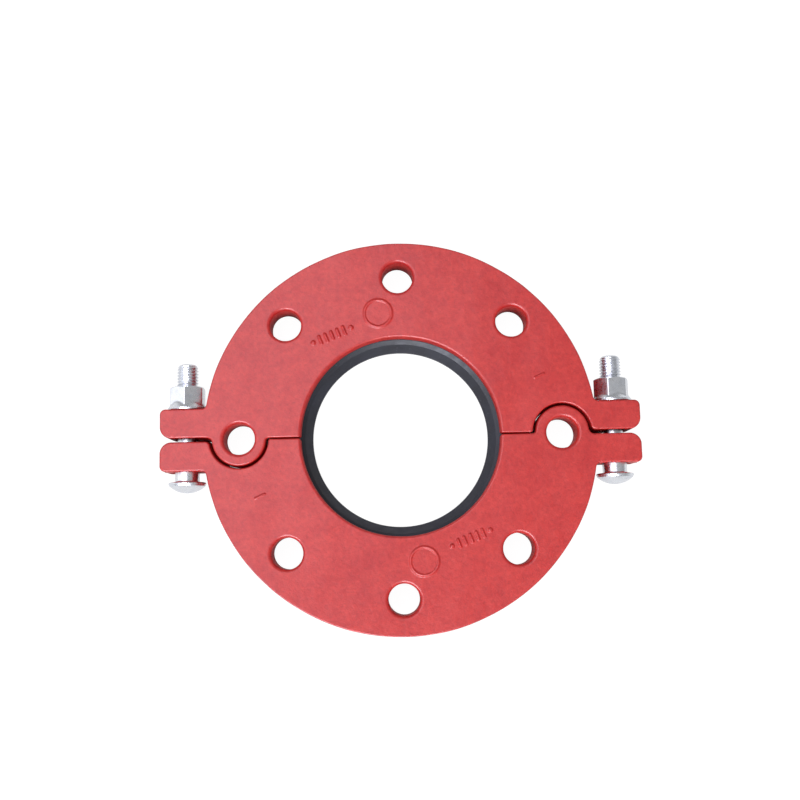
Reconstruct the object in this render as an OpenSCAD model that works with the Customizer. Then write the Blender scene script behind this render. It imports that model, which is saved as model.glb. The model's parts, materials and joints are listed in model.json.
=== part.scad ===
// Grooved split-flange adapter, two bolted halves around a rubber ring gasket.
// Lies flat on its mating face at z = 0: Z is the pipe axis, X runs through the two ears,
// and the clamping bolts run along Y. The upper half is on the +Y side. Millimetres.

/* [Flange] */
// Outside diameter of the flange disc
flange_d = 220; // [214:1:226]
// Thickness of the flange plate
plate_t = 18; // [17:0.5:20]
// Height of the raised mating face below the plate
raised_h = 6; // [5:0.5:8]
// Diameter of the raised mating face
raised_d = 158; // [150:1:160]
// Chamfer around the rim of the disc
rim_chamfer = 1; // [0.5:0.25:1.5]

/* [Flange bolt holes] */
// Diameter of the pitch circle of the flange bolt holes
pitch_circle_d = 180; // [178:1:182]
// Number of flange bolt holes
hole_count = 8; // [8]
// Diameter of each flange bolt hole
hole_d = 17.5; // [16:0.5:20]

/* [Pipe bore] */
// Diameter of the key that sits in the pipe's groove
key_d = 111.3; // [110:0.1:112]
// Width of the key along the pipe
key_w = 7.5; // [6:0.5:9]
// Diameter of the gasket pocket
pocket_d = 136; // [132:1:140]

/* [Parting line] */
// Gap between the two halves along the bore side of the parting line
part_gap = 0.4; // [0.2:0.1:1]
// Radius of the round tongue
tongue_r = 15.1; // [13.5:0.1:15.2]
// Radius of the socket that takes the tongue
socket_r = 16.4; // [15.8:0.1:17]
// Radius where tongue and socket meet the gap between the ears
nook_r_out = 3; // [1:0.25:3]
// Radius where tongue and socket meet the parting line by the bore
nook_r_in = 1.5; // [1:0.25:2.5]

/* [Ears] */
// Distance from the pipe axis to the end of each ear
ear_x = 134; // [130:0.2:138]
// Height of the ear face that the nut or bolt head bears on
ear_y = 17.5; // [16:0.25:19]
// Gap between an upper and a lower ear
ear_gap = 2; // [1:0.2:4]
// Height of the ear's underside above the mating face
ear_z = 1.5; // [1:0.25:3]
// Corner radius on the bearing side
ear_r_out = 3.2; // [2:0.2:4]
// Corner radius on the parting side
ear_r_in = 6.5; // [4:0.5:8]
// Fillet where the ear meets the disc
ear_root_r = 2.6; // [1.5:0.1:3]

/* [Clamping bolts] */
// Distance from the pipe axis to each bolt axis
bolt_x = 120.3; // [119.5:0.1:121.5]
// Height of the bolt axes above the mating face
bolt_z = 12.75; // [12:0.25:13.5]
// Nominal thread diameter
bolt_d = 12; // [12]
// Thread pitch
pitch = 1.75; // [1.5:0.25:1.75]
// Height of the threaded end above the parting plane
bolt_top = 44; // [42:0.5:50]
// Depth of the head's underside below the parting plane
head_y = 23; // [21:0.5:24]
// Head diameter
head_d = 21; // [19:0.5:21]
// Head height
head_h = 6; // [5:0.5:7]
// Oval neck width
neck_w = 13; // [12.5:0.1:13.4]
// Oval neck length
neck_l = 16.2; // [15:0.1:16.8]
// Oval neck height
neck_h = 8.5; // [7:0.5:10]

/* [Nuts] */
// Width across flats
nut_af = 18; // [17:0.5:18.5]
// Overall height
nut_h = 13.4; // [12:0.2:14]
// Flange diameter
nut_flange_d = 22.6; // [21.8:0.1:23]

/* [Raised marks] */
// Height of the cast marks above the face
mark_h = 0.75; // [0.3:0.05:0.8]

/* [Hidden] */
$fn = 96;
bore_fn = 160; // facets of the circles around the pipe
over = 1;      // how far cutting shapes run past a surface

flange_r = flange_d / 2;
face_z = plate_t + raised_h; // the face away from the mating face
hole_circle_r = pitch_circle_d / 2;
key_r = key_d / 2;
pocket_r = pocket_d / 2;
pocket_top = face_z - key_w;

// Oval slots and spot faces, with clearance around neck and nut
slot_w = neck_w + 0.9;
slot_l = neck_l + 1.2;
spot_r = nut_flange_d / 2 + 0.9;
spot_h = 16;

// Nooks beside tongue and socket: side along X, level of the flat they meet, radius
tongue_nooks = [[-1, ear_gap / 2, nook_r_out], [1, part_gap / 2, nook_r_in]];
socket_nooks = [[1, -ear_gap / 2, nook_r_out], [-1, -part_gap / 2, nook_r_in]];

thread_r = bolt_d / 2 - 0.05;
nut_bore_r = bolt_d / 2;
nut_seat = ear_y + 0.05;
left_nut_turn = 29.5;
right_nut_turn = 10.5;

casting_red = [0.84, 0.27, 0.27];
zinc = [0.80, 0.82, 0.86];
epdm = [0.17, 0.17, 0.19];

// ---- shared ----

// Puts a part that points along +Z onto the clamping bolt axis at side -1 or 1, pointing to +Y
module on_bolt_axis(side, y = 0) {
    translate([side * bolt_x, y, bolt_z]) rotate([-90, 0, 0]) children();
}

// Upright post with an oval section, long along Y
module oval_post(width, length, height) {
    offset_y = (length - width) / 2;
    for (side = [-1, 1]) translate([0, side * offset_y, 0]) cylinder(d = width, h = height);
    translate([-width / 2, -offset_y, 0]) cube([width, 2 * offset_y, height]);
}

// ---- halves ----

// A fillet crosses the curves it meets by these, so that no two curves only touch
flat_bite = 0.02;
circle_bite = 0.03;

// Centre, at height y, of a fillet against the outside of a circle about the origin
function fillet_centre(circle_r, fillet_r, y, side = 1) =
    [side * sqrt(pow(circle_r + fillet_r - circle_bite, 2) - y * y), y];

function nook_centre(boss_r, nook) =
    fillet_centre(boss_r, nook[2], nook[1] - nook[2] + flat_bite, nook[0]);

module nook_circle(boss_r, nook) {
    translate(nook_centre(boss_r, nook)) circle(nook[2]);
}

// Blank between the boss circle, the flat and the nook's centre, before its circle is cut
module nook_blank(boss_r, nook, y_low, y_high) {
    centre = nook_centre(boss_r, nook);
    inward = (boss_r - 0.5) / (boss_r + nook[2]);
    polygon([[0, y_low], [0, y_high], [centre[0], y_high], centre, centre * inward]);
}

// Tongue with its root fillets, centred on its bolt hole
module tongue_2d() {
    circle(tongue_r);
    for (nook = tongue_nooks) difference() {
        nook_blank(tongue_r, nook, nook[1] - 0.2, nook[1] + 0.3);
        nook_circle(tongue_r, nook);
    }
}

// Socket with its rounded mouth, centred on its bolt hole
module socket_2d() {
    mirror([0, 1]) difference() {
        union() {
            circle(socket_r);
            for (nook = socket_nooks) nook_blank(socket_r, nook, 0, nook[1] + 1);
        }
        for (nook = socket_nooks) nook_circle(socket_r, nook);
    }
}

// One ear, towards +X
module ear_2d() {
    bottom = ear_gap / 2;
    out_corner = [ear_x - ear_r_out, ear_y - ear_r_out];
    in_corner = [ear_x - ear_r_in, bottom + ear_r_in];
    difference() {
        translate([hole_circle_r, bottom]) square([ear_x - hole_circle_r, ear_y - bottom]);
        translate(out_corner) square(ear_r_out + over);
        translate([in_corner[0], bottom - over]) square(ear_r_in + over);
    }
    translate(out_corner) circle(ear_r_out);
    translate(in_corner) circle(ear_r_in);
}

// Fillet between the top of an ear and the rim of the disc
module ear_root_2d() {
    centre = fillet_centre(flange_r, ear_root_r, ear_y + ear_root_r - flat_bite);
    inner = centre * (flange_r - 1) / (flange_r + ear_root_r);
    difference() {
        polygon([[inner[0], ear_y - 1], [centre[0], ear_y - 1], centre, inner]);
        translate(centre) circle(ear_root_r);
    }
}

// Area above the parting line: closer along the bore than under the ears
module above_parting_2d() {
    translate([-hole_circle_r, part_gap / 2]) square([2 * hole_circle_r, flange_r]);
    for (s = [0, 1]) mirror([s, 0])
        translate([hole_circle_r - 1, ear_gap / 2]) square([ear_x, flange_r]);
}

// Outline of the plate of one half, without the ears
module plate_2d() {
    difference() {
        union() {
            intersection() {
                circle(flange_r);
                above_parting_2d();
            }
            translate([-hole_circle_r, 0]) tongue_2d();
        }
        translate([hole_circle_r, 0]) socket_2d();
    }
}

// The pair of ears with their root fillets, reaching a little into the disc
module ears_2d() {
    difference() {
        union() for (s = [0, 1]) mirror([s, 0]) {
            ear_2d();
            ear_root_2d();
        }
        circle(flange_r - 3);
        translate([hole_circle_r, 0]) socket_2d();
    }
}

// Disc with chamfered rims on both sides
module disc_envelope() {
    rotate_extrude() polygon([
        [0, raised_h], [flange_r - rim_chamfer, raised_h], [flange_r, raised_h + rim_chamfer],
        [flange_r, face_z - rim_chamfer], [flange_r - rim_chamfer, face_z], [0, face_z]]);
}

// Five bars in a row between two dots
module tally_2d() {
    bar = [1.2, 5.2];
    for (i = [-2:2]) translate([i * 3.6 - bar[0] / 2, -bar[1] / 2]) square(bar);
    for (side = [-1, 1]) translate([side * 11.4, 0]) circle(1.1);
}

// Cast marks on the face: a ring with a lower disc inside it, a tally and a dash
module marks() {
    sink = 0.2;
    ring_at = [-11.4, 69.4];
    dash = [6.4, 1];
    translate([0, 0, face_z - sink]) {
        linear_extrude(mark_h + sink) {
            translate(ring_at) difference() {
                circle(8.1);
                circle(7);
            }
            translate([-37.4, 57.4]) rotate(21.5) tally_2d();
            translate([78.2, 32]) rotate(24) translate(-dash / 2) square(dash);
        }
        translate(ring_at) cylinder(r = 7.5, h = sink + mark_h * 0.3);
    }
}

// Plate, ears, raised mating face and marks, before any bore or hole
module half_blank() {
    intersection() {
        translate([0, 0, raised_h]) linear_extrude(plate_t) plate_2d();
        disc_envelope();
    }
    translate([0, 0, ear_z]) linear_extrude(face_z - ear_z) ears_2d();
    linear_extrude(raised_h + 1) intersection() {
        circle(raised_d / 2, $fn = bore_fn);
        plate_2d();
    }
    marks();
}

// One casting: the two halves are the same casting, half a turn apart
module half_casting() {
    through_h = face_z + 3 * over;
    difference() {
        half_blank();
        translate([0, 0, -over]) {
            cylinder(r = pocket_r, h = pocket_top + over, $fn = bore_fn);
            cylinder(r = key_r, h = through_h, $fn = bore_fn);
            for (i = [0 : hole_count - 1]) rotate(i * 360 / hole_count)
                translate([hole_circle_r, 0, 0]) cylinder(d = hole_d, h = through_h);
        }
        for (side = [-1, 1]) {
            on_bolt_axis(side) oval_post(slot_w, slot_l, 2 * ear_y);
            on_bolt_axis(side, ear_y) cylinder(r = spot_r, h = spot_h);
        }
    }
}

module upper_half() { color(casting_red) half_casting(); }
module lower_half() { color(casting_red) rotate(180) half_casting(); }

// ---- gasket ----

// Section as radius, z: body in the pocket, lip on the pipe, leg turned in under the pipe's end
gasket_gap = 0.2;
gasket_section = [
    [pocket_r - gasket_gap, 0.3], [pocket_r - gasket_gap, pocket_top - gasket_gap],
    [58.6, pocket_top - gasket_gap], [57.0, pocket_top - 2.2], [57.0, pocket_top - 6.5],
    [51.2, 4.4], [50.1, 3.4], [50.1, 1.3], [51.2, 0.3]];

module gasket() {
    color(epdm) rotate_extrude($fn = bore_fn) polygon(gasket_section);
}

// ---- bolts and nuts ----

// Ridges of the thread from z_start to z_end, as one turned profile with a tapered tip
module thread(z_start, z_end) {
    root_r = thread_r - 0.9;
    tip = 1.6;
    // One ridge: height above its start, radius
    ridge = [[0.1, root_r], [0.75, thread_r], [1.1, thread_r], [pitch, root_r]];
    ridge_count = floor((z_end - z_start - 1) / pitch);
    rotate_extrude() polygon(concat(
        [[0, z_start], [root_r, z_start]],
        [for (i = [0 : ridge_count - 1], point = ridge) [point[1], z_start + i * pitch + point[0]]],
        [[root_r, z_end - tip], [root_r - tip, z_end], [0, z_end]]));
}

// Track bolt along +Z of its own frame, with z = 0 at the parting plane
module track_bolt() {
    edge_h = 1.5; // straight edge of the head, above its domed cap
    cap_h = head_h - edge_h;
    cap_r = (pow(head_d / 2, 2) + cap_h * cap_h) / (2 * cap_h);
    thread_start = 4.5;
    overlap = 0.5;
    translate([0, 0, -head_y - edge_h]) cylinder(d = head_d, h = edge_h);
    intersection() {
        translate([0, 0, -head_y - head_h + cap_r]) sphere(cap_r);
        translate([0, 0, -head_y - head_h - over]) cylinder(d = head_d, h = head_h);
    }
    translate([0, 0, -head_y - overlap]) oval_post(neck_w, neck_l, neck_h + overlap);
    translate([0, 0, -head_y]) cylinder(r = thread_r, h = head_y + thread_start + overlap);
    thread(thread_start, bolt_top);
}

// Hex nut with a one-piece conical flange, sitting on z = 0 of its own frame
module flange_nut(turn) {
    rim_h = 1.2;
    cone_h = 3.4;
    hex_top_r = nut_af / 2 - 0.5; // radius left on top by the 30 degree corner chamfer
    mouth_r = nut_bore_r + 1.1;
    mouth_h = 1.1;
    mouth_over = 0.1;
    difference() {
        union() {
            cylinder(d = nut_flange_d, h = rim_h);
            translate([0, 0, rim_h])
                cylinder(r1 = nut_flange_d / 2, r2 = nut_af / 2 - 0.6, h = cone_h);
            intersection() {
                rotate(turn) linear_extrude(nut_h) circle(d = nut_af / cos(30), $fn = 6);
                translate([0, 0, -over])
                    cylinder(r1 = hex_top_r + (nut_h + over) / tan(30), r2 = hex_top_r,
                        h = nut_h + over);
            }
        }
        translate([0, 0, -over]) cylinder(r = nut_bore_r, h = nut_h + 2 * over);
        translate([0, 0, nut_h - mouth_h + mouth_over])
            cylinder(r1 = nut_bore_r, r2 = mouth_r, h = mouth_h);
        translate([0, 0, -mouth_over]) cylinder(r1 = mouth_r, r2 = nut_bore_r, h = mouth_h);
    }
}

module left_bolt() { color(zinc) on_bolt_axis(-1) track_bolt(); }
module right_bolt() { color(zinc) on_bolt_axis(1) track_bolt(); }
module left_nut() { color(zinc) on_bolt_axis(-1, nut_seat) flange_nut(left_nut_turn); }
module right_nut() { color(zinc) on_bolt_axis(1, nut_seat) flange_nut(right_nut_turn); }

upper_half();
lower_half();
gasket();
left_bolt();
right_bolt();
left_nut();
right_nut();
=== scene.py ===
import json
import math
from functools import cached_property

import bpy
import numpy as np
from mathutils import Matrix, Vector


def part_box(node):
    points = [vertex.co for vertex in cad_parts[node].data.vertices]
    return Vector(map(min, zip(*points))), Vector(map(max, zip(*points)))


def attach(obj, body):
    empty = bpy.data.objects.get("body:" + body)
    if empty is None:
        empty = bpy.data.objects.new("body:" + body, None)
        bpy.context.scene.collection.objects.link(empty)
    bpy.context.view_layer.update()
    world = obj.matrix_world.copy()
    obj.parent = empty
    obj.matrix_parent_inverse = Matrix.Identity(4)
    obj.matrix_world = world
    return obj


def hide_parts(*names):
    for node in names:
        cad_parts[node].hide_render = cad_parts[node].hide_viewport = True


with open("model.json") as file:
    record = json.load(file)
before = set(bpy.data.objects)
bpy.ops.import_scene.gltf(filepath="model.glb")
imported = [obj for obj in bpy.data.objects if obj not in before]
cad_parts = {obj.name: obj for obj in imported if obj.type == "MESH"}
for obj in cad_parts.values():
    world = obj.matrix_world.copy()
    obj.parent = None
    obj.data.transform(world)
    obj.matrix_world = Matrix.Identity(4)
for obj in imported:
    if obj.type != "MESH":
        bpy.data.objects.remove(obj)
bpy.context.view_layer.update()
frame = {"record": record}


# ------------------------------------------------------------------ sizes from the frame (mm)


def box_mm(node):
    low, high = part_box(node)
    return np.array(low) * 1000.0, np.array(high) * 1000.0


low, high = box_mm("left_bolt")
BOLT_X = -(low[0] + high[0]) / 2
BOLT_Z = (low[2] + high[2]) / 2
BOLT_Y0, BOLT_Y1 = low[1], high[1]
HEAD_R = (high[0] - low[0]) / 2
low, high = box_mm("left_nut")
NUT_Y0 = low[1]
NUT_HEIGHT = high[1] - low[1]
NUT_FLANGE_R = (high[0] - low[0]) / 2
low, high = box_mm("gasket")
GASKET_R = (high[0] - low[0]) / 2
GASKET_Z0, GASKET_Z1 = low[2], high[2]
low, high = box_mm("upper_half")
EAR_X, DISC_R = high[0], high[1]

MOUNTS = {mount["name"]: mount for mount in frame["record"]["mounts"]}
KEY_SIZES = MOUNTS["pipe_groove_key"]["dims"]
KEY_R = KEY_SIZES["r_mm"]
BOLT_CIRCLE = MOUNTS["flange_bolt_circle"]
HOLE_CIRCLE_R = BOLT_CIRCLE["dims"]["pcd_mm"] / 2
HOLE_R = BOLT_CIRCLE["dims"]["hole_r_mm"]
FACE_Z = BOLT_CIRCLE["pos_m"][2] * 1000.0
POCKET_TOP = FACE_Z - KEY_SIZES["length_mm"]
POCKET_R = GASKET_R + 0.2

# ------------------------------------------------------------------ casting sizes (mm)

PLATE_Z0 = 6.0  # underside of the plate
RAISED_R = 79.0  # thicker centre disc, down to z = 0
RAISED_OVERLAP = 3.0  # how far that disc reaches up into the plate
EAR_Y = 17.5  # outer side of the ears
EAR_Z0 = 1.5  # underside of the ears
GAP = 0.2  # parting line to the half, inboard
EAR_GAP = 1.0  # parting line to the ear, outboard
TONGUE_R = 15.1  # round tongue at -X
SOCKET_R = 16.4  # round socket at +X
JOINT_R = 15.75  # middle of the band round tongue and socket
NOOK_OUT = 3.0  # corner radii where tongue and socket meet the parting faces
NOOK_IN = 1.5
EAR_R_OUT = 3.2  # ear corner away from the parting line
EAR_R_IN = 6.5  # ear corner beside the parting line
ROOT_R = 2.6  # fillet from ear to disc
SLOT_W = 13.9  # bolt slot, long along Z
SLOT_L = 17.4
SPOT_R = 12.2  # seat for bolt head or nut, cut down to the ear
SPOT_Y1 = 36.0
SEAM_Z = 14.6  # thin raised line round the rim
SEAM_WIDTH = 0.45
SEAM_HEIGHT = 0.2
TAPER = 0.014  # draw of the walls away from the seam

GRID_STEP = 0.5
TRIANGLE_TARGET = 150000

# ------------------------------------------------------------------ distance fields


def round_max(a, b, rounding):
    """Intersection of two distance fields with a rounded edge."""
    outside = np.hypot(np.maximum(a + rounding, 0), np.maximum(b + rounding, 0))
    return np.minimum(np.maximum(a, b), -rounding) + outside


def carve(body, tool, rounding):
    return round_max(body, -tool, rounding)


def smoothstep(t):
    t = np.clip(t, 0, 1)
    return t * t * (3 - 2 * t)


def rise(value, at, over):
    """0 up to `at`, then smoothly to 1 over the length `over`."""
    return smoothstep((value - at) / over)


def fall(value, to, over):
    """Smoothly from 1 to 0 over the length `over`, reaching 0 at `to`."""
    return smoothstep((to - value) / over)


def line_distance(x, y, start, end):
    """Distance to a segment, and a value that is negative on its left."""
    length = math.hypot(end[0] - start[0], end[1] - start[1])
    ux, uy = (end[0] - start[0]) / length, (end[1] - start[1]) / length
    dx, dy = x - start[0], y - start[1]
    along = dx * ux + dy * uy
    side = -(dy * ux - dx * uy)
    beyond = np.maximum(np.maximum(-along, along - length), 0)
    return np.hypot(side, beyond), side


def arc_distance(x, y, centre, radius, start, end):
    """Distance to an arc (angles in radians), and a value that is negative on its left."""
    dx, dy = x - centre[0], y - centre[1]
    way = 1 if end > start else -1
    turned = np.mod((np.arctan2(dy, dx) - start) * way, 2 * math.pi)
    to_start = np.hypot(dx - radius * math.cos(start), dy - radius * math.sin(start))
    to_end = np.hypot(dx - radius * math.cos(end), dy - radius * math.sin(end))
    side = (np.hypot(dx, dy) - radius) * way
    on_arc = turned <= abs(end - start)
    return np.where(on_arc, np.abs(side), np.minimum(to_start, to_end)), side


class Outline:
    """Closed outline of tangent lines and arcs, material on the left, with its signed distance."""

    def __init__(self):
        self.pieces = []

    def line(self, start, end):
        self.pieces.append((line_distance, start, end))

    def arc(self, centre, radius, start, end):
        """Arc between two angles in degrees."""
        self.pieces.append((arc_distance, centre, radius, math.radians(start), math.radians(end)))

    def __call__(self, x, y):
        nearest = np.full(np.broadcast(x, y).shape, 1e9, np.float32)
        result = nearest
        for measure, *shape in self.pieces:
            distance, side = measure(x, y, *shape)
            better = distance < nearest - 1e-6
            nearest = np.where(better, distance, nearest)
            result = np.where(better, np.where(side < 0, -distance, distance), result)
        return result


def heading(start, end):
    """Direction in degrees from one point to another."""
    return math.degrees(math.atan2(end[1] - start[1], end[0] - start[0]))


def nook_centre(boss, boss_r, y, radius, side):
    """Centre, at height y, of a corner arc that touches the boss circle from outside."""
    return boss[0] + side * math.sqrt((boss_r + radius) ** 2 - y * y), y


def half_outline():
    """Plate and ears of the upper half seen along Z, closed straight across the bore."""
    outline = Outline()
    origin = (0, 0)
    socket, tongue = (HOLE_CIRCLE_R, 0), (-HOLE_CIRCLE_R, 0)
    socket_in = nook_centre(socket, SOCKET_R, GAP + NOOK_IN, NOOK_IN, -1)
    socket_out = nook_centre(socket, SOCKET_R, EAR_GAP + NOOK_OUT, NOOK_OUT, 1)
    tongue_out = nook_centre(tongue, TONGUE_R, EAR_GAP - NOOK_OUT, NOOK_OUT, -1)
    tongue_in = nook_centre(tongue, TONGUE_R, GAP - NOOK_IN, NOOK_IN, 1)
    root_y = EAR_Y + ROOT_R
    root_x = math.sqrt((DISC_R + ROOT_R) ** 2 - root_y * root_y)
    right_root, left_root = (root_x, root_y), (-root_x, root_y)
    outer_x, outer_y = EAR_X - EAR_R_OUT, EAR_Y - EAR_R_OUT
    inner_x, inner_y = EAR_X - EAR_R_IN, EAR_GAP + EAR_R_IN
    # socket, +X
    outline.line((tongue_in[0], GAP), (socket_in[0], GAP))
    outline.arc(socket_in, NOOK_IN, -90, heading(socket_in, socket))
    outline.arc(socket, SOCKET_R, heading(socket, socket_in), heading(socket, socket_out))
    outline.arc(socket_out, NOOK_OUT, heading(socket_out, socket) % 360, 270)
    # right ear
    outline.line((socket_out[0], EAR_GAP), (inner_x, EAR_GAP))
    outline.arc((inner_x, inner_y), EAR_R_IN, -90, 0)
    outline.line((EAR_X, inner_y), (EAR_X, outer_y))
    outline.arc((outer_x, outer_y), EAR_R_OUT, 0, 90)
    outline.line((outer_x, EAR_Y), (root_x, EAR_Y))
    outline.arc(right_root, ROOT_R, -90, heading(right_root, origin))
    # disc rim
    rim_start = heading(origin, right_root)
    outline.arc(origin, DISC_R, rim_start, 180 - rim_start)
    # left ear
    outline.arc(left_root, ROOT_R, heading(left_root, origin), -90)
    outline.line((-root_x, EAR_Y), (-outer_x, EAR_Y))
    outline.arc((-outer_x, outer_y), EAR_R_OUT, 90, 180)
    outline.line((-EAR_X, outer_y), (-EAR_X, inner_y))
    outline.arc((-inner_x, inner_y), EAR_R_IN, 180, 270)
    outline.line((-inner_x, EAR_GAP), (tongue_out[0], EAR_GAP))
    # tongue, -X
    outline.arc(tongue_out, NOOK_OUT, 90, heading(tongue_out, tongue))
    tongue_start = heading(tongue, tongue_out) % 360
    outline.arc(tongue, TONGUE_R, tongue_start, heading(tongue, tongue_in) % 360)
    outline.arc(tongue_in, NOOK_IN, heading(tongue_in, tongue), 90)
    return outline


OUTLINE = half_outline()


def cast_waves():
    """Seeded sine waves of a sand-cast skin: (wave vector, phase, height)."""
    rng = np.random.RandomState(7)
    waves = []
    for wavelength, height in ((42.0, 0.05), (17.0, 0.035), (7.0, 0.016)):
        for _ in range(5):
            way = rng.normal(size=3)
            way /= np.linalg.norm(way)
            vector = way * 2 * math.pi / (wavelength * rng.uniform(0.75, 1.3))
            waves.append((vector, rng.uniform(0, 6.28), height))
    return waves


WAVES = cast_waves()
WAVE_STRENGTH = 0.45


def waviness(x, y, z):
    total = 0
    for (kx, ky, kz), phase, height in WAVES:
        total = total + height * np.sin(kx * x + ky * y + kz * z + phase)
    return total * WAVE_STRENGTH


# raised cast marks on the flange face: places and sizes in mm, angles in degrees
MARK_H = 0.75
MARK_EDGE = 0.48  # half-width of the sloped edge of a mark
RING = {"x": -11.4, "y": 69.4, "radius": 7.6, "half_width": 0.72, "edge": 0.62}
RING_FLOOR = {"radius": 7.3, "height": 0.3 * MARK_H}  # low disc inside the ring
BARS = {"centre": (-37.4, 57.4), "angle": 21.5, "pitch": 3.6}
BAR = {"half_width": 0.25, "half_length": 2.25, "rounding": 0.4}
BAR_DOTS = {"reach": 11.4, "radius": 1.15}  # one dot past each end of the row of bars
DASH = {"centre": (78.2, 32), "angle": 24}
DASH_HALF_LENGTH, DASH_R, DASH_HEIGHT = 2.7, 0.5, 0.8 * MARK_H


def turned_frame(x, y, centre, angle):
    """Coordinates along and across a direction through a centre."""
    angle = math.radians(angle)
    dx, dy = x - centre[0], y - centre[1]
    return (
        dx * math.cos(angle) + dy * math.sin(angle),
        -dx * math.sin(angle) + dy * math.cos(angle),
    )


def relief(distance, edge=MARK_EDGE):
    """1 inside a mark, 0 outside, sloped across its edge."""
    return fall(distance, to=edge, over=2 * edge)


def mark_height(x, y):
    """Height of the raised marks: ring, row of bars with end dots, dash."""
    rho = np.hypot(x - RING["x"], y - RING["y"])
    ring = np.abs(rho - RING["radius"]) - RING["half_width"]
    height = MARK_H * relief(ring, RING["edge"])
    height = np.maximum(height, RING_FLOOR["height"] * relief(rho - RING_FLOOR["radius"]))

    along, across = turned_frame(x, y, BARS["centre"], BARS["angle"])
    tally = 1e9
    for i in range(-2, 3):
        dx = np.abs(along - i * BARS["pitch"]) - BAR["half_width"]
        dy = np.abs(across) - BAR["half_length"]
        box = np.hypot(np.maximum(dx, 0), np.maximum(dy, 0)) + np.minimum(np.maximum(dx, dy), 0)
        tally = np.minimum(tally, box - BAR["rounding"])
    for side in (-1, 1):
        dot = np.hypot(along - side * BAR_DOTS["reach"], across) - BAR_DOTS["radius"]
        tally = np.minimum(tally, dot)
    height = np.maximum(height, MARK_H * relief(tally))

    along, across = turned_frame(x, y, DASH["centre"], DASH["angle"])
    dash = np.hypot(np.maximum(np.abs(along) - DASH_HALF_LENGTH, 0), across) - DASH_R
    return np.maximum(height, DASH_HEIGHT * relief(dash))


# amounts (mm) that the zones in casting() are multiplied by
TOP_EDGE = 0.95  # rounding of the plate's top edge
TOP_EDGE_ROOT = 0.4  # taken off it at the ear roots
TOP_EDGE_TONGUE = 0.35  # added to it round the tongue
SWELL_MID = 0.5  # swelling of the joint walls below the rim
SWELL_LOW_LEFT = 0.4  # taken off it low down at -X
SWELL_LOW_RIGHT = 0.45  # added to it low down at +X
FOOT = 0.6  # swelling at the bottom of the left ear by the parting line


def casting(x, y, z):
    """Signed distance, near the surface, of the upper half. x and y broadcast against z."""
    radius = np.hypot(x, y)
    across = np.abs(x)
    outline = OUTLINE(x, y)
    to_hole = 1e9
    for i in range(8):
        angle = math.radians(45 * i)
        hole_x, hole_y = HOLE_CIRCLE_R * math.cos(angle), HOLE_CIRCLE_R * math.sin(angle)
        to_hole = np.minimum(to_hole, np.hypot(x - hole_x, y - hole_y))

    # zones, each 1 where it applies and 0 elsewhere
    rim = rise(radius, at=103.5, over=3.0) * rise(y, at=2.0, over=2.0)
    band = smoothstep(1.6 - np.abs(np.hypot(across - HOLE_CIRCLE_R, y) - JOINT_R) / 2.5)
    ear_root = (radius, across)
    ear = rise(across, at=104.0, over=3.2) * fall(y, to=21.0, over=2.5)
    parting = fall(np.abs(y), to=5.0, over=3.0)
    band_ends = np.maximum(
        rise(np.sign(x) * y, at=1.0, over=3.5), rise(across, at=102.0, over=2.0) * parting
    )
    ear_parting = rise(across, at=104.0, over=3.0) * fall(across, to=118.0, over=8.0) * parting
    joint = np.maximum(band * band_ends, ear_parting)

    # plate and ears
    edge = TOP_EDGE - TOP_EDGE_ROOT * rise(radius, at=103.0, over=4.0) * fall(
        across, to=107.0, over=5.0
    )
    edge = edge + TOP_EDGE_TONGUE * band * rise(-x, at=60.0, over=5.0) * fall(y, to=1.0, over=3.0)
    mid, low = SWELL_MID * fall(z, to=22.0, over=4.0), fall(z, to=13.0, over=3.0)
    swell = np.where(x < 0, mid - SWELL_LOW_LEFT * low, mid + SWELL_LOW_RIGHT * low)
    foot = FOOT * fall(z, to=8.0, over=3.0) * rise(-x, at=105.0, over=1.5)
    foot = foot * fall(-x, to=118.0, over=4.0) * parting
    seam = z - SEAM_Z
    seam_bead = SEAM_HEIGHT * rim * np.exp(-((seam / SEAM_WIDTH) ** 2))
    side = outline + TAPER * np.abs(seam) - seam_bead - swell * joint - foot
    top_z = FACE_Z + mark_height(x, y)
    bottom_z = PLATE_Z0 - (PLATE_Z0 - EAR_Z0) * ear
    # the underside slopes where the ear starts; 2.1 is its steepest gradient
    slope = 1.0 / np.sqrt(1.0 + (2.1 * (ear * (1 - ear) * 4)) ** 2)
    body = round_max(side, z - top_z, edge)
    body = round_max(body, (bottom_z - z) * slope, rounding=1.1)

    # thicker centre disc
    raised = round_max(round_max(radius - RAISED_R, outline, rounding=0.3), -z, rounding=0.45)
    raised = np.maximum(raised, z - (PLATE_Z0 + RAISED_OVERLAP))
    body = np.minimum(body, raised)

    # bolt seats and slots, flange holes, bore and gasket pocket
    spot = np.hypot(across - BOLT_X, z - BOLT_Z) - SPOT_R
    spot = np.maximum(np.maximum(spot, EAR_Y - y), y - SPOT_Y1)
    body = carve(body, spot, rounding=0.25)
    slot_end = (SLOT_L - SLOT_W) / 2
    slot = np.hypot(across - BOLT_X, np.maximum(np.abs(z - BOLT_Z) - slot_end, 0)) - SLOT_W / 2
    body = carve(body, slot, rounding=0.7)
    body = carve(body, to_hole - HOLE_R, rounding=0.7 + 1.25 * rise(z, at=9.0, over=6.0))
    body = carve(body, radius - KEY_R, rounding=1.5)
    pocket = round_max(radius - POCKET_R, z - POCKET_TOP, rounding=0.6)
    body = carve(body, pocket, rounding=0.4)
    return body + waviness(x, y, z)


# ------------------------------------------------------------------ meshing


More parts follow.
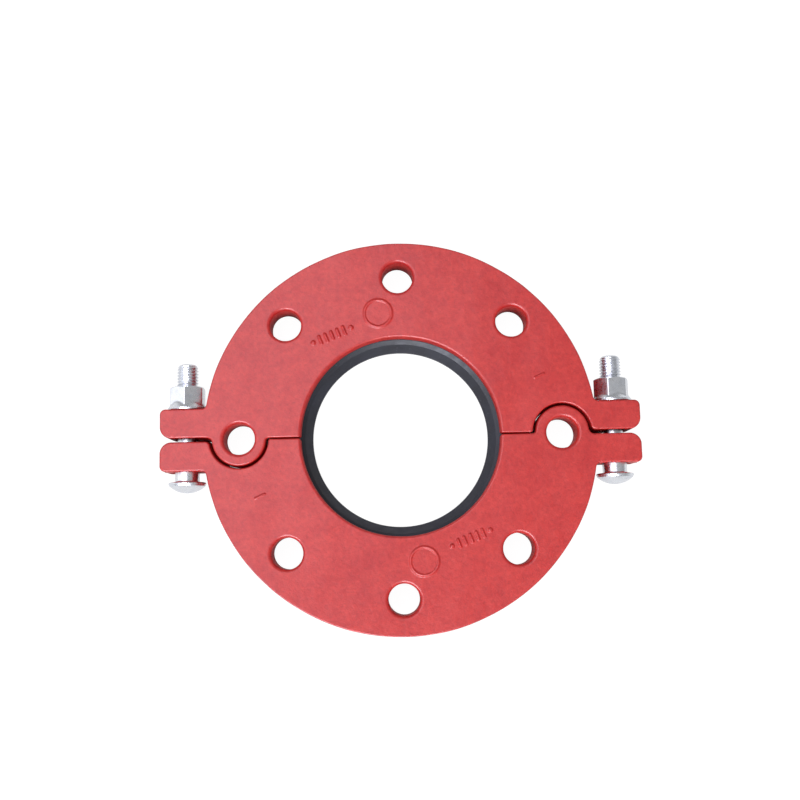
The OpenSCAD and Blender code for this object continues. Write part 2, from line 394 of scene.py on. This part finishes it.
def surface_nets(field, origin, step):
    """Vertices and quads of the zero surface of a sampled field."""
    solid = field < 0
    count = np.zeros(tuple(n - 1 for n in field.shape), np.int8)
    corners = [(a, b, c) for a in (0, 1) for b in (0, 1) for c in (0, 1)]
    for a, b, c in corners:
        count += solid[a : a + count.shape[0], b : b + count.shape[1], c : c + count.shape[2]]
    active = (count > 0) & (count < 8)
    cells = np.argwhere(active)
    ids = np.full(count.shape, -1, np.int32)
    ids[active] = np.arange(len(cells), dtype=np.int32)

    # each vertex is the mean of its cell's edge crossings
    values = {corner: field[tuple((cells + corner).T)].astype(float) for corner in corners}
    total, crossings = np.zeros((len(cells), 3)), np.zeros(len(cells))
    for start in corners:
        for axis in range(3):
            if start[axis]:
                continue
            end = tuple(1 if i == axis else start[i] for i in range(3))
            v0, v1 = values[start], values[end]
            crossed = (v0 < 0) != (v1 < 0)
            point = np.tile(np.array(start, float), (crossed.sum(), 1))
            point[:, axis] += v0[crossed] / (v0[crossed] - v1[crossed])
            total[crossed] += point
            crossings[crossed] += 1
    vertices = np.array(origin) + step * (cells + total / crossings[:, None])

    # one quad round every grid edge that crosses the surface
    quads = []
    for axis in range(3):
        u, v = (axis + 1) % 3, (axis + 2) % 3
        near, far = [slice(1, -1)] * 3, [slice(1, -1)] * 3
        near[axis], far[axis] = slice(None, -1), slice(1, None)
        edges = np.argwhere(solid[tuple(near)] != solid[tuple(far)])
        edges[:, [u, v]] += 1
        ring = []
        for back_u, back_v in ((1, 1), (0, 1), (0, 0), (1, 0)):
            cell = edges.copy()
            cell[:, u] -= back_u
            cell[:, v] -= back_v
            ring.append(ids[tuple(cell.T)])
        quad = np.stack(ring, 1)
        inside = solid[tuple(edges.T)]
        quads.append(np.where(inside[:, None], quad, quad[:, ::-1]))
    return vertices, np.vstack(quads)


def gradient(field, points, reach=0.03):
    result = np.empty_like(points)
    for axis in range(3):
        before, after = points.copy(), points.copy()
        before[:, axis] -= reach
        after[:, axis] += reach
        result[:, axis] = (field(*after.T) - field(*before.T)) / (2 * reach)
    return result


def project(field, points, rounds):
    """Pull points onto the zero surface, at most 0.45 of a grid step each round."""
    for _ in range(rounds):
        distance = field(*points.T)
        slope = gradient(field, points)
        scale = distance / np.maximum((slope * slope).sum(1), 0.05)
        move = -scale[:, None] * slope
        length = np.linalg.norm(move, axis=1)
        move *= np.minimum(1, 0.45 * GRID_STEP / np.maximum(length, 1e-9))[:, None]
        points = points + move
    return points


def link_object(name, data):
    ob = bpy.data.objects.new(name, data)
    bpy.context.scene.collection.objects.link(ob)
    return ob


def mesh_object(name, vertices, face_groups, normals=None):
    """Smooth mesh object from arrays, millimetres in, metres out."""
    mesh = bpy.data.meshes.new(name)
    points = np.ascontiguousarray(np.asarray(vertices, float) * 0.001, np.float32)
    corners = np.concatenate([group.ravel() for group in face_groups]).astype(np.int32)
    sizes = np.concatenate([np.full(len(g), g.shape[1], np.int32) for g in face_groups])
    starts = np.concatenate([[0], np.cumsum(sizes)[:-1]]).astype(np.int32)
    mesh.vertices.add(len(points))
    mesh.vertices.foreach_set("co", points.ravel())
    mesh.loops.add(len(corners))
    mesh.loops.foreach_set("vertex_index", corners)
    mesh.polygons.add(len(sizes))
    mesh.polygons.foreach_set("loop_start", starts)
    mesh.update(calc_edges=True)
    mesh.validate()
    mesh.polygons.foreach_set("use_smooth", np.full(len(mesh.polygons), True))
    if normals is not None:
        mesh.normals_split_custom_set_from_vertices(normals.tolist())
    return link_object(name, mesh)


def half_mesh():
    """One casting: vertices (mm), triangles and normals."""
    low = np.array([-EAR_X - 1.2, -TONGUE_R - 1.4, -1.2])
    high = np.array([EAR_X + 1.2, DISC_R + 1.4, FACE_Z + 2.0])
    counts = np.ceil((high - low) / GRID_STEP).astype(int) + 1
    axes = [(low[k] + GRID_STEP * np.arange(counts[k])).astype(np.float32) for k in range(3)]
    field = casting(*np.ix_(*axes)).astype(np.float32)
    vertices, quads = surface_nets(field, low, GRID_STEP)
    vertices = project(casting, vertices, rounds=3)

    # thin the mesh, then pull it back onto the surface
    ob = mesh_object("tmp_half", vertices, [quads])
    thin = ob.modifiers.new("thin", "DECIMATE")
    thin.ratio = min(1.0, TRIANGLE_TARGET / (2.0 * len(quads)))
    thin.use_collapse_triangulate = True
    depsgraph = bpy.context.evaluated_depsgraph_get()
    mesh = bpy.data.meshes.new_from_object(ob.evaluated_get(depsgraph))
    vertices = np.empty(len(mesh.vertices) * 3, np.float32)
    mesh.vertices.foreach_get("co", vertices)
    vertices = vertices.reshape(-1, 3).astype(float) * 1000.0
    triangles = np.empty(len(mesh.loops), np.int32)
    mesh.loops.foreach_get("vertex_index", triangles)
    bpy.data.objects.remove(ob)
    bpy.data.meshes.remove(mesh)
    vertices = project(casting, vertices, rounds=2)
    normals = gradient(casting, vertices)
    normals /= np.maximum(np.linalg.norm(normals, axis=1), 1e-9)[:, None]
    return vertices, triangles.reshape(-1, 3), normals


# ------------------------------------------------------------------ skins made of rings


def full_turn(count):
    return np.linspace(0, 2 * math.pi, count, endpoint=False)


def make_ring(angles, z, radius):
    height = np.broadcast_to(z, angles.shape)
    return np.stack([radius * np.cos(angles), radius * np.sin(angles), height], 1)


def ring_quads(rows, count, closed):
    """Quads between neighbouring rings; `closed` also joins the last ring to the first."""
    i = np.arange(rows if closed else rows - 1)[:, None]
    j = np.arange(count)[None, :]
    i2, j2 = (i + 1) % rows, (j + 1) % count
    quads = [i * count + j, i * count + j2, i2 * count + j2, i2 * count + j]
    return np.stack(quads, -1).reshape(-1, 4)


def capped_skin(rings):
    """Skin over the rings with a fan of triangles at either end."""
    rings = np.array(rings)
    rows, count, _ = rings.shape
    first = rows * count
    vertices = np.vstack([rings.reshape(-1, 3), rings[0].mean(0), rings[-1].mean(0)])
    j = np.arange(count)
    j2 = (j + 1) % count
    last_row = (rows - 1) * count
    start_cap = np.stack([np.full(count, first), j2, j], 1)
    end_cap = np.stack([np.full(count, first + 1), last_row + j, last_row + j2], 1)
    return vertices, [ring_quads(rows, count, closed=False), start_cap, end_cap]


def looped_skin(rings):
    """Skin over the rings, closed from the last back to the first."""
    rings = np.array(rings)
    return rings.reshape(-1, 3), [ring_quads(len(rings), rings.shape[1], closed=True)]


def round_profile(corners, steps):
    """Closed polygon of (x, y, corner radius) with its corners rounded."""
    result = []
    count = len(corners)
    for i in range(count):
        before, corner, after = (np.array(corners[(i + k) % count][:2]) for k in (-1, 0, 1))
        a, b = before - corner, after - corner
        length_a, length_b = np.linalg.norm(a), np.linalg.norm(b)
        a, b = a / length_a, b / length_b
        half = math.acos(float(a @ b)) / 2
        # the arc takes up no more than 0.48 of either side
        trim = min(corners[i][2] / math.tan(half), 0.48 * length_a, 0.48 * length_b)
        radius = trim * math.tan(half)
        centre = corner + (a + b) / np.linalg.norm(a + b) * (radius / math.sin(2 * half))
        # distance from corner to centre along the bisector, from the trimmed length
        centre = corner + (a + b) / np.linalg.norm(a + b) * (radius / math.sin(half))
        start, end = corner + a * trim - centre, corner + b * trim - centre
        angle = math.atan2(start[1], start[0])
        sweep = (math.atan2(end[1], end[0]) - angle + math.pi) % (2 * math.pi) - math.pi
        for k in range(steps + 1):
            turn = angle + sweep * k / steps
            result.append(centre + radius * np.array([math.cos(turn), math.sin(turn)]))
    return result


def on_bolt_axis(vertices, side, start_y=0.0):
    """Stand a skin made along +Z on a bolt axis, its z running along +Y."""
    x, y, z = vertices.T
    return np.stack([x + side * BOLT_X, z + start_y, BOLT_Z - y], 1)


HEAD_HEIGHT = 6.0
HEAD_RIM = 1.5  # height of the rim below the dome
HEAD_RIM_R = 0.72
NECK_LENGTH = 8.5
NECK_R = 6.5  # oval neck: half-width, and radius of its round ends
NECK_FLAT = 1.6  # half-length of its straight sides
NECK_FILLET = 0.9
NECK_TAPER = 1.2  # length over which the neck turns into the shank
SHANK_R = 5.42
THREAD_START = 2.5
THREAD_FADE = 2.4  # length over which the thread reaches full depth
PITCH = 1.75
THREAD_R = 5.95
THREAD_DEPTH = 0.85
POINT_LENGTH = 3.2  # rounded end
POINT_DROP = 2.6


def bolt_skin():
    """Track bolt along its axis: domed head, oval neck, shank, helical thread."""
    angles = full_turn(96)
    c, s = np.abs(np.cos(angles)), np.abs(np.sin(angles))
    flat = np.where(c > 1e-9, NECK_R / np.maximum(c, 1e-9), 1e9)
    cap = NECK_FLAT * s + np.sqrt(np.maximum(NECK_R * NECK_R - (NECK_FLAT * c) ** 2, 0))
    oval = np.where(flat * s <= NECK_FLAT, flat, cap)
    rings = []

    def add(z, radius):
        rings.append(make_ring(angles, z, radius))

    # dome from its apex out, then the rounded rim
    head_under = BOLT_Y0 + HEAD_HEIGHT
    dome_height = HEAD_HEIGHT - HEAD_RIM
    dome_r = (HEAD_R**2 + dome_height**2) / (2 * dome_height)
    dome_angle = math.asin(HEAD_R / dome_r)
    for k in range(1, 25):
        a = dome_angle * k / 25
        add(BOLT_Y0 + dome_r - dome_r * math.cos(a), dome_r * math.sin(a))
    for k in range(9):
        a = math.radians(-60 + 150 * k / 8)
        rim_z = head_under - HEAD_RIM_R + HEAD_RIM_R * math.sin(a)
        add(rim_z, HEAD_R - HEAD_RIM_R + HEAD_RIM_R * math.cos(a))

    # neck: fillet under the head, straight part, turn into the shank
    neck_top = head_under + NECK_LENGTH
    for k in range(6):
        a = math.radians(90 * k / 5)
        fillet_z = head_under + NECK_FILLET * (1 - math.cos(a)) + 0.01
        add(fillet_z, oval + NECK_FILLET * (1 - math.sin(a)))
    for z in np.linspace(head_under + 1.4, neck_top - 1.4, 10):
        add(z, oval)
    for k in range(9):
        blend = smoothstep(k / 8)
        add(neck_top - NECK_TAPER + NECK_TAPER * k / 8, oval * (1 - blend) + SHANK_R * blend)

    # shank, then thread to a rounded point
    for z in np.arange(neck_top + 0.3, THREAD_START, 0.8):
        add(z, SHANK_R)
    for z in np.arange(THREAD_START, BOLT_Y1 - 0.05, PITCH / 14):
        phase = np.mod(z / PITCH - angles / (2 * math.pi), 1.0)
        ridge = np.abs(phase - 0.5) * 2  # 1 at the crest, 0 at the root
        # flat of 0.14 at the root and 0.16 at the crest, flanks slightly bowed
        ridge = np.clip((ridge - 0.14) / 0.70, 0, 1)
        ridge = ridge * (0.9 + 0.1 * np.sin(ridge * math.pi / 2))
        radius = (THREAD_R - THREAD_DEPTH) + THREAD_DEPTH * ridge
        fade = np.clip((z - THREAD_START) / THREAD_FADE, 0, 1)
        radius = SHANK_R + (radius - SHANK_R) * fade
        into_point = z - (BOLT_Y1 - POINT_LENGTH)
        if into_point > 0:
            drop = POINT_DROP * (1 - math.sqrt(1 - (into_point / POINT_LENGTH) ** 2))
            radius = np.minimum(radius, THREAD_R - 0.05 - drop)
        add(z, radius)
    add(BOLT_Y1 - 0.02, 3.1)
    for radius in (2.7, 1.9, 1.1, 0.5):
        add(BOLT_Y1, radius)
    return capped_skin(rings)


HEX_R = 9.0  # centre to flat
HEX_CORNER_EASE = 0.22
NUT_BORE_R = 6.0
NUT_RIM_R = 0.6
SERRATIONS = 36
SERRATION_DEPTH = 0.24


def soft_step(a, b, width):
    """What a soft maximum adds to the hard one, or a soft minimum takes off."""
    return np.maximum(width - np.abs(a - b), 0) ** 2 / (4 * width)


def nut_skin(turn_deg):
    """Hex nut with a conical flange and a plain bore, its underside at z = 0."""
    angles = full_turn(192)
    from_flat = np.mod(angles - math.radians(turn_deg), math.pi / 3) - math.pi / 6
    corner = HEX_R / math.cos(math.pi / 6)
    eased = HEX_CORNER_EASE * np.cos((np.abs(from_flat) - math.pi / 6) * 9)
    hexagon = np.minimum(HEX_R / np.cos(from_flat), corner - HEX_CORNER_EASE + eased)
    top = NUT_HEIGHT
    rings = []

    def add(z, radius):
        rings.append(make_ring(angles, z, radius))

    # underside with fine radial serrations, then the rounded flange rim
    teeth = 0.5 + 0.5 * np.cos(SERRATIONS * angles + 0.8)
    add(0.9, NUT_BORE_R)
    add(0.0, 7.0)
    for radius in (7.6, 8.4, 9.2, 10.0, 10.6):
        add(SERRATION_DEPTH * teeth * rise(radius, at=7.2, over=1.2), radius)
    for k in range(9):
        a = math.radians(-90 + 160 * k / 8)
        add(0.62 + NUT_RIM_R * math.sin(a), NUT_FLANGE_R - NUT_RIM_R + NUT_RIM_R * math.cos(a))

    # flange cone running into the hexagon, which a 30 degree chamfer cuts at the top
    heights = (
        np.linspace(1.25, 4.9, 30),
        np.linspace(5.1, top - 2.0, 16),
        np.linspace(top - 1.9, top - 0.25, 22),
    )
    for z in np.concatenate(heights):
        cone = NUT_FLANGE_R - 0.15 - (z - 1.25) * 0.80 + 0.035 * (z - 1.25) ** 2
        wall = np.maximum(hexagon, cone) + soft_step(hexagon, cone, width=0.5)
        chamfer = 8.55 + (top - z) / math.tan(math.radians(30))
        add(z, np.minimum(wall, chamfer) - soft_step(wall, chamfer, width=0.18))
    add(top - 0.08, np.minimum(hexagon, 8.62))
    for radius in (8.35, 7.6, 7.15):
        add(top, radius)

    # countersink and bore
    for k in range(1, 6):
        add(top - 0.95 * k / 5, 7.05 - 1.05 * k / 5)
    for z in np.linspace(top - 1.2, 1.2, 10):
        add(z, NUT_BORE_R)
    return looped_skin(rings)


# section of the gasket, anticlockwise: (radius from the bore axis, z, corner rounding)
GASKET_SECTION = [
    # outer wall with a small groove, and top
    (GASKET_R, GASKET_Z0, 0.8), (GASKET_R, 7.4, 0.2), (GASKET_R - 0.35, 7.9, 0.15),
    (GASKET_R, 8.4, 0.2), (GASKET_R, GASKET_Z1, 0.9), (60.2, GASKET_Z1, 0.5),
    # inner wall, down to the lip
    (58.4, GASKET_Z1 - 0.5, 1.2), (57.0, GASKET_Z1 - 2.4, 1.0),
    (56.9, GASKET_Z1 - 4.8, 1.5), (57.1, GASKET_Z1 - 6.4, 0.9),
    # lip
    (54.2, 8.5, 0.7), (51.0, 4.3, 1.0), (50.2, 3.4, 0.7), (50.05, 2.4, 0.4),
    (50.2, 1.2, 0.7), (51.3, GASKET_Z0, 0.9),
    # underside with two small grooves
    (54.6, GASKET_Z0, 0.15), (55.0, GASKET_Z0 + 0.5, 0.2), (55.4, GASKET_Z0, 0.15),
    (60.6, GASKET_Z0, 0.15), (61.0, GASKET_Z0 + 0.5, 0.2), (61.4, GASKET_Z0, 0.15),
]


def gasket_skin():
    angles = full_turn(288)
    section = round_profile(GASKET_SECTION, steps=4)
    return looped_skin([make_ring(angles, z, radius) for radius, z in section])


# ------------------------------------------------------------------ materials


def srgb(*channels):
    """Linear RGBA from 0-255 sRGB channels."""
    shares = [c / 255.0 for c in channels]
    linear = [c / 12.92 if c <= 0.04045 else ((c + 0.055) / 1.055) ** 2.4 for c in shares]
    return (*linear, 1.0)


class Nodes:
    """Small helper for building the node tree of a material or world."""

    def __init__(self, owner, shader="Principled BSDF"):
        self.owner = owner
        owner.use_nodes = True
        self.tree = owner.node_tree
        self.shader = self.tree.nodes[shader]

    @cached_property
    def coordinates(self):
        return self.new("ShaderNodeTexCoord").outputs

    def feed(self, socket, value):
        """Link the value if it is a socket, else store it."""
        if isinstance(value, bpy.types.NodeSocket):
            self.tree.links.new(value, socket)
        else:
            socket.default_value = value

    def new(self, kind, inputs=None, **settings):
        node = self.tree.nodes.new(kind)
        for key, value in settings.items():
            setattr(node, key, value)
        for key, value in (inputs or {}).items():
            self.feed(node.inputs[key], value)
        return node

    def noise(self, scale, detail=2.0, roughness=0.5, vector=None):
        inputs = {"Scale": scale, "Detail": detail, "Roughness": roughness}
        inputs["Vector"] = vector or self.coordinates["Object"]
        return self.new("ShaderNodeTexNoise", inputs).outputs["Fac"]

    def ramp(self, value, stops):
        """Colour ramp from (position, colour) stops."""
        node = self.new("ShaderNodeValToRGB", {"Fac": value})
        elements = node.color_ramp.elements
        while len(elements) > 1:
            elements.remove(elements[-1])
        elements[0].position, elements[0].color = stops[0]
        for position, colour in stops[1:]:
            elements.new(position).color = colour
        return node.outputs["Color"]

    def mix(self, factor, a, b, mode="MIX"):
        node = self.new("ShaderNodeMix", data_type="RGBA", blend_type=mode)
        sockets = [socket for socket in node.inputs if socket.enabled]
        for socket, value in zip(sockets, (factor, a, b)):
            self.feed(socket, value)
        return [socket for socket in node.outputs if socket.enabled][0]

    def remap(self, value, source, target):
        """Map the source range onto the target range, clamped."""
        inputs = {"Value": value, "From Min": source[0], "From Max": source[1]}
        inputs |= {"To Min": target[0], "To Max": target[1]}
        return self.new("ShaderNodeMapRange", inputs).outputs["Result"]

    def math(self, operation, *values):
        node = self.new("ShaderNodeMath", dict(enumerate(values)), operation=operation)
        return node.outputs[0]

    def grey(self, value):
        channels = dict.fromkeys(("Red", "Green", "Blue"), value)
        return self.new("ShaderNodeCombineColor", channels).outputs["Color"]

    def split(self, vector):
        return self.new("ShaderNodeSeparateXYZ", {"Vector": vector}).outputs

    def bump(self, height, strength, distance, normal=None):
        inputs = {"Strength": strength, "Distance": distance, "Height": height}
        if normal is not None:
            inputs["Normal"] = normal
        return self.new("ShaderNodeBump", inputs).outputs["Normal"]

    def openness(self, distance, source, target):
        """Ambient occlusion: high on open faces, low in holes and gaps."""
        node = self.new("ShaderNodeAmbientOcclusion", {"Distance": distance}, samples=12)
        return self.remap(node.outputs["AO"], source, target)

    def set(self, name, value):
        self.feed(self.shader.inputs[name], value)


def inner_wall(m, reach, half_gap, bolt_reach):
    """1 on upright walls inside the disc or in the gap between the ears, else 0 (metres)."""
    normal_z = m.math("ABSOLUTE", m.split(m.coordinates["Normal"])["Z"])
    upright = m.remap(normal_z, source=(0.25, 0.55), target=(1.0, 0.0))
    place = m.split(m.coordinates["Object"])
    squares = [m.math("POWER", place[axis], 2.0) for axis in "XY"]
    inside = m.math("LESS_THAN", m.math("SQRT", m.math("ADD", *squares)), reach)
    gap = m.math("LESS_THAN", m.math("ABSOLUTE", place["Y"]), half_gap)
    near = m.math("LESS_THAN", m.math("ABSOLUTE", place["X"]), bolt_reach)
    return m.math("MULTIPLY", upright, m.math("MAXIMUM", inside, m.math("MULTIPLY", gap, near)))


def red_paint():
    m = Nodes(bpy.data.materials.new("red_paint"))
    # gloss is held back in recesses and on inner walls
    gloss = m.openness(0.020, source=(0.50, 0.88), target=(0.0, 1.0))
    wall = inner_wall(m, reach=0.1075, half_gap=0.004, bolt_reach=0.1235)
    gloss = m.math("MULTIPLY", gloss, m.remap(wall, source=(0.0, 1.0), target=(1.0, 0.06)))
    gloss = m.math("MAXIMUM", gloss, 0.035)
    # painted shade: ambient occlusion darkens the base colour in holes, gaps and recesses
    painted_shade = m.openness(0.014, source=(0.05, 0.80), target=(0.62, 1.0))
    broad = [(0.30, srgb(198, 40, 42)), (0.52, srgb(208, 48, 46)), (0.72, srgb(214, 56, 54))]
    base = m.ramp(m.noise(scale=26.0, detail=3.0, roughness=0.55), broad)
    patches = [(0.35, srgb(190, 34, 38)), (0.65, srgb(218, 60, 54))]
    patches = m.ramp(m.noise(scale=140.0, detail=3.0, roughness=0.6), patches)
    base = m.mix(0.35, base, patches)
    specks = [(0.30, (0.72, 0.68, 0.68, 1)), (0.42, (1, 1, 1, 1))]
    specks = m.ramp(m.noise(scale=900.0, roughness=0.6), specks)
    base = m.mix(0.5, base, specks, "MULTIPLY")
    fine = [(0.30, (0.88, 0.80, 0.82, 1)), (0.70, (1.06, 1.16, 1.12, 1))]
    base = m.mix(1.0, base, m.ramp(m.noise(scale=520.0, roughness=0.6), fine), "MULTIPLY")
    # base colour multiplied by the painted shade
    m.set("Base Color", m.mix(1.0, base, m.grey(painted_shade), "MULTIPLY"))
    m.set("Roughness", m.remap(m.noise(scale=320.0), source=(0.3, 0.7), target=(0.40, 0.52)))
    m.set("Specular IOR Level", m.math("MULTIPLY", gloss, 0.38))
    m.set("Coat Weight", m.math("MULTIPLY", gloss, 0.56))
    m.set("Coat Roughness", 0.25)
    skin = m.bump(m.noise(scale=150.0), strength=0.35, distance=0.0006)
    grain = m.noise(scale=520.0, detail=3.0, roughness=0.62)
    skin = m.bump(grain, strength=0.6, distance=0.00034, normal=skin)
    skin = m.bump(m.noise(scale=1900.0), strength=0.25, distance=0.00007, normal=skin)
    m.set("Normal", skin)
    return m.owner


def epdm():
    m = Nodes(bpy.data.materials.new("epdm_rubber"))
    tones = [(0.35, srgb(38, 40, 48)), (0.65, srgb(47, 50, 61))]
    base = m.ramp(m.noise(scale=60.0, detail=3.0, roughness=0.6), tones)
    dust = [(0.62, (0, 0, 0, 1)), (0.78, (1, 1, 1, 1))]
    dust = m.ramp(m.noise(scale=700.0, detail=4.0, roughness=0.7), dust)
    base = m.mix(dust, base, srgb(98, 100, 108))
    # painted shade: ambient occlusion darkens the base colour in hollows and gaps
    painted_shade = m.openness(0.008, source=(0.0, 0.5), target=(0.35, 1.0))
    m.set("Base Color", m.mix(1.0, base, m.grey(painted_shade), "MULTIPLY"))
    m.set("Roughness", m.remap(m.noise(scale=200.0), source=(0.3, 0.7), target=(0.42, 0.58)))
    m.set("Specular IOR Level", 0.5)
    m.set("Sheen Weight", 0.10)
    m.set("Sheen Roughness", 0.5)
    m.set("Sheen Tint", srgb(150, 165, 200))
    grain = m.noise(scale=1300.0, detail=3.0, roughness=0.6)
    m.set("Normal", m.bump(grain, strength=0.3, distance=0.0001))
    return m.owner


def zinc():
    m = Nodes(bpy.data.materials.new("zinc_plate"))
    tones = [(0.30, srgb(222, 226, 234)), (0.55, srgb(236, 239, 244)), (0.75, srgb(228, 230, 233))]
    m.set("Base Color", m.ramp(m.noise(scale=220.0, detail=3.0, roughness=0.55), tones))
    m.set("Metallic", 1.0)
    haze = m.noise(scale=480.0, detail=3.0, roughness=0.6)
    m.set("Roughness", m.remap(haze, source=(0.3, 0.7), target=(0.22, 0.38)))
    # fine streaks drawn out along the bolt axis
    stretch = {"Scale": (1.0, 0.12, 1.0), "Vector": m.coordinates["Object"]}
    streaks = m.noise(scale=2600.0, vector=m.new("ShaderNodeMapping", stretch).outputs["Vector"])
    skin = m.bump(streaks, strength=0.12, distance=0.00004)
    m.set("Normal", m.bump(m.noise(scale=420.0), strength=0.15, distance=0.00012, normal=skin))
    return m.owner


PAINT, RUBBER, ZINC = red_paint(), epdm(), zinc()

# ------------------------------------------------------------------ pieces


def add_piece(name, part, slot, material, vertices, faces, normals=None):
    """Mesh that rides on a CAD part and replaces it."""
    ob = mesh_object(name, vertices, faces, normals)
    ob.data.materials.append(material)
    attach(ob, part)
    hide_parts(part)
    return ob


# the lower half is the upper one turned half round about Z
vertices, triangles, normals = half_mesh()
for side, turn in (("upper", (1.0, 1.0, 1.0)), ("lower", (-1.0, -1.0, 1.0))):
    add_piece(
        "casting_" + side, side + "_half", "red_paint", PAINT,
        vertices * turn, [triangles], normals * turn,
    )

add_piece("ring_gasket", "gasket", "epdm", RUBBER, *gasket_skin())

metal_pieces = []
vertices, faces = bolt_skin()
for side, sign in (("left", -1), ("right", 1)):
    placed = on_bolt_axis(vertices, sign)
    name = "track_bolt_" + side
    metal_pieces.append(add_piece(name, side + "_bolt", "zinc_steel", ZINC, placed, faces))
for side, sign, turn_deg in (("left", -1, 29.5), ("right", 1, 10.5)):
    vertices, faces = nut_skin(turn_deg)
    placed = on_bolt_axis(vertices, sign, NUT_Y0)
    name = "flange_nut_" + side
    metal_pieces.append(add_piece(name, side + "_nut", "zinc_steel", ZINC, placed, faces))

# ------------------------------------------------------------------ stage, light and camera

FLOOR_HALF = 6.0
FLOOR_Z = -0.0002


def add_floor():
    """Ground that looks white to the eye and in mirrors but throws little light back up."""
    mesh = bpy.data.meshes.new("floor")
    corners = [(-1, -1), (1, -1), (1, 1), (-1, 1)]
    points = [(x * FLOOR_HALF, y * FLOOR_HALF, FLOOR_Z) for x, y in corners]
    mesh.from_pydata(points, [], [(0, 1, 2, 3)])
    ob = link_object("floor", mesh)
    m = Nodes(bpy.data.materials.new("floor_pale"))
    path = m.new("ShaderNodeLightPath").outputs
    seen = m.math("MAXIMUM", path["Is Camera Ray"], path["Is Glossy Ray"])
    glow = m.math("MULTIPLY_ADD", path["Is Camera Ray"], 0.25, m.math("MULTIPLY", seen, 0.72))
    m.set("Base Color", (0.14, 0.14, 0.14, 1))
    m.set("Roughness", 0.95)
    m.set("Specular IOR Level", 0.0)
    m.set("Emission Color", (1, 1, 1, 1))
    m.set("Emission Strength", glow)
    mesh.materials.append(m.owner)


def area_light(
    name, place, size, power, colour=(1, 1, 1), target=(0, 0, 0), diffuse=True, glossy=True
):
    light = bpy.data.lights.new(name, "AREA")
    light.shape = "RECTANGLE"
    light.size, light.size_y = size
    light.energy = power
    light.color = colour
    ob = link_object(name, light)
    ob.visible_diffuse = diffuse
    ob.visible_glossy = glossy
    ob.location = place
    aim = Vector(target) - Vector(place)
    ob.rotation_euler = aim.to_track_quat("-Z", "Y").to_euler()
    return ob


def add_lights():
    area_light("key", (0.05, -1.05, 0.62), size=(0.9, 0.5), power=9.2, glossy=False)
    area_light(
        "window", (-0.40, -0.98, 1.08), size=(1.2, 0.60), power=36.0,
        colour=(0.88, 0.90, 1.0), diffuse=False,
    )
    # reflected by the plated steel only
    card = area_light(
        "card_left", (-1.3, -0.05, 0.28), size=(1.0, 0.50), power=1.6,
        colour=(0.96, 0.98, 1.0), target=(-0.12, 0, 0.02), diffuse=False,
    )
    metal = bpy.data.collections.new("plated_steel")
    for ob in metal_pieces:
        metal.objects.link(ob)
    card.light_linking.receiver_collection = metal
    area_light(
        "fill_left", (-1.0, 0.15, 0.9), size=(0.8, 0.8), power=2.2, colour=(0.88, 0.86, 1.0)
    )
    area_light("top", (-0.45, 0.35, 1.5), size=(1.0, 1.0), power=8.2, colour=(0.96, 0.89, 1.0))


def set_world():
    """Pale surroundings, brighter overhead than at the horizon, and white to the eye."""
    scene = bpy.context.scene
    if scene.world is None:
        scene.world = bpy.data.worlds.new("world")
    m = Nodes(scene.world, "Background")
    incoming = m.new("ShaderNodeNewGeometry").outputs["Incoming"]
    sky = m.remap(m.split(incoming)["Z"], source=(0.0, -1.0), target=(0.30, 0.44))
    camera_ray = m.new("ShaderNodeLightPath").outputs["Is Camera Ray"]
    m.set("Color", (1, 1, 1, 1))
    m.set("Strength", m.math("MAXIMUM", sky, camera_ray))


def add_camera():
    """Camera above the flange, looking almost straight down."""
    camera = bpy.data.cameras.new("camera")
    camera.lens = 48.3957
    camera.sensor_width = 36.0
    camera.clip_start = 0.01
    ob = link_object("camera", camera)
    right = Vector((0.99974637, -0.02204638, 0.00460023))
    up = Vector((0.02121845, 0.99052059, 0.13571566))
    back = Vector((-0.00754866, -0.13558362, 0.99073715))
    turn = Matrix((right, up, back)).transposed().to_4x4()
    ob.matrix_world = Matrix.Translation(Vector((-0.00452, -0.06151, 0.61831))) @ turn
    bpy.context.scene.camera = ob


add_floor()
add_lights()
set_world()
add_camera()
bpy.context.scene.view_settings.view_transform = "Standard"
bpy.context.scene.view_settings.look = "None"

bpy.context.view_layer.update()
